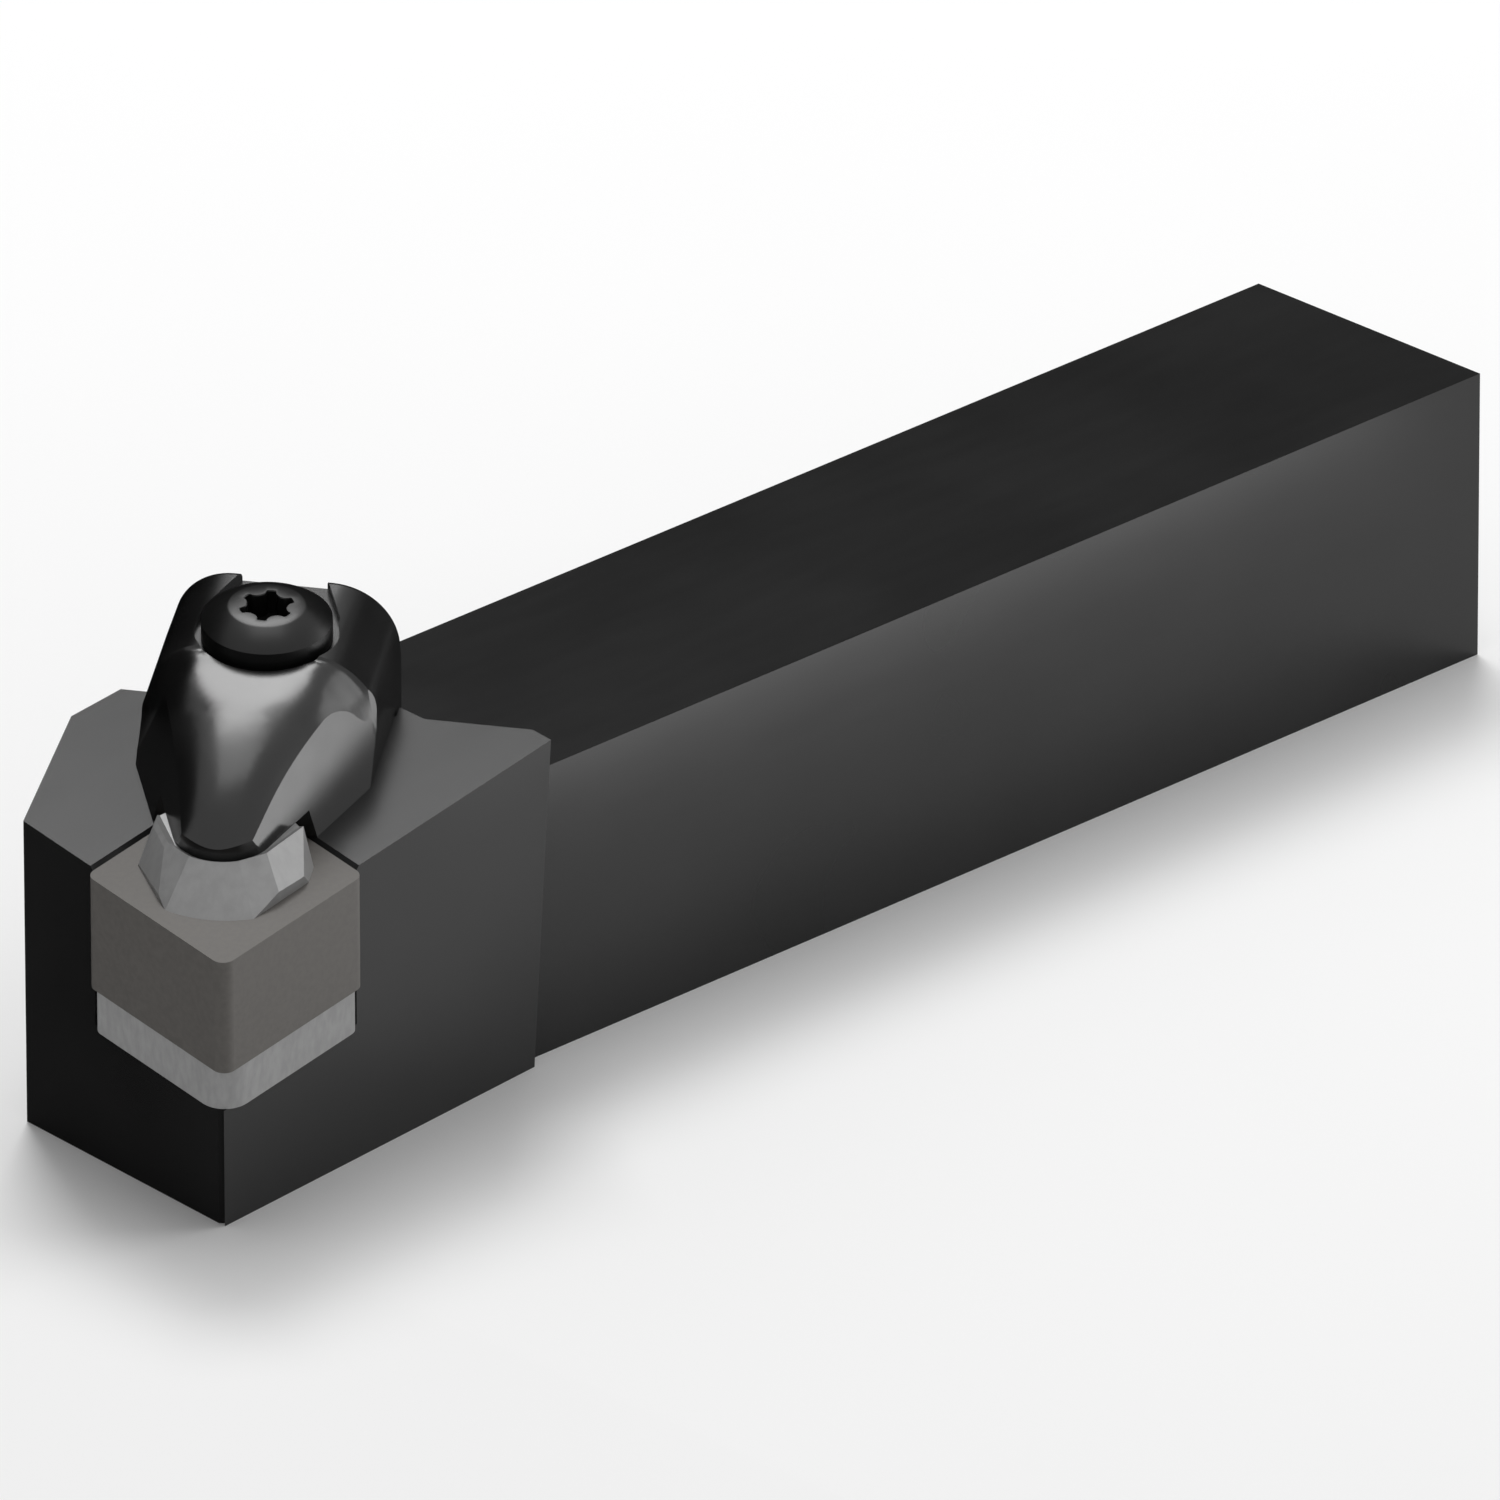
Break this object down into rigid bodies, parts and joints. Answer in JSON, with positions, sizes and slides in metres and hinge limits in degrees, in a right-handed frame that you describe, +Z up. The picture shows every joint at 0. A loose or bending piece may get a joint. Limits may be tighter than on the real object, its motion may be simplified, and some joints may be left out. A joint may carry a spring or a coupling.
{
  "type": "turning tool holder",
  "caption": "Square-shank external turning tool holder: a thick holeless 80 degree insert on a shim, held from above by a long-nosed clamp with a hard pressure pad and one screw.",
  "frame": {"origin": "on the underside of the shank, in the middle of its width, 38.1 mm in front of the rear end", "axes": "+X runs along the shank to its rear end, so the cutting tip points towards -X; -Y is the cutting side, on which the tip stands out; +Z is up, out of the top of the shank"},
  "size_m": [0.1143, 0.0254, 0.0323],
  "materials": {
    "body_steel": "blackened, satin",
    "hard_grey": "ground, matt",
    "insert_grey": "ground, matt",
    "clamp_steel": "blackened, polished",
    "screw_steel": "blackened, polished",
    "spring_steel": "bright drawn"
  },
  "bodies": {
    "holder": {"holder_body": "body_steel", "shim": "hard_grey", "shim_screw": "screw_steel", "insert": "insert_grey", "clamp_spring": "spring_steel"},
    "clamp_unit": {"clamp": "clamp_steel", "pressure_pad": "hard_grey", "pad_pin": "screw_steel"},
    "screw": {"clamp_screw": "screw_steel"}
  },
  "joints": [
    {"name": "clamp_lift", "type": "slide", "parent": "holder", "child": "clamp_unit", "axis": [-0.104, -0.104, 0.9891], "range_m": [0, 0.003], "deforming": ["clamp_spring"]},
    {"name": "screw_turn", "type": "hinge", "parent": "clamp_unit", "child": "screw", "pos_m": [-0.05777, -0.00084, 0.02971], "axis": [-0.104, -0.104, 0.9891], "range_deg": [0, 1350.5]}
  ],
  "couplings": [
    {"joint": "screw_turn", "follows": "clamp_lift", "rad_per_m": 7854}
  ]
}
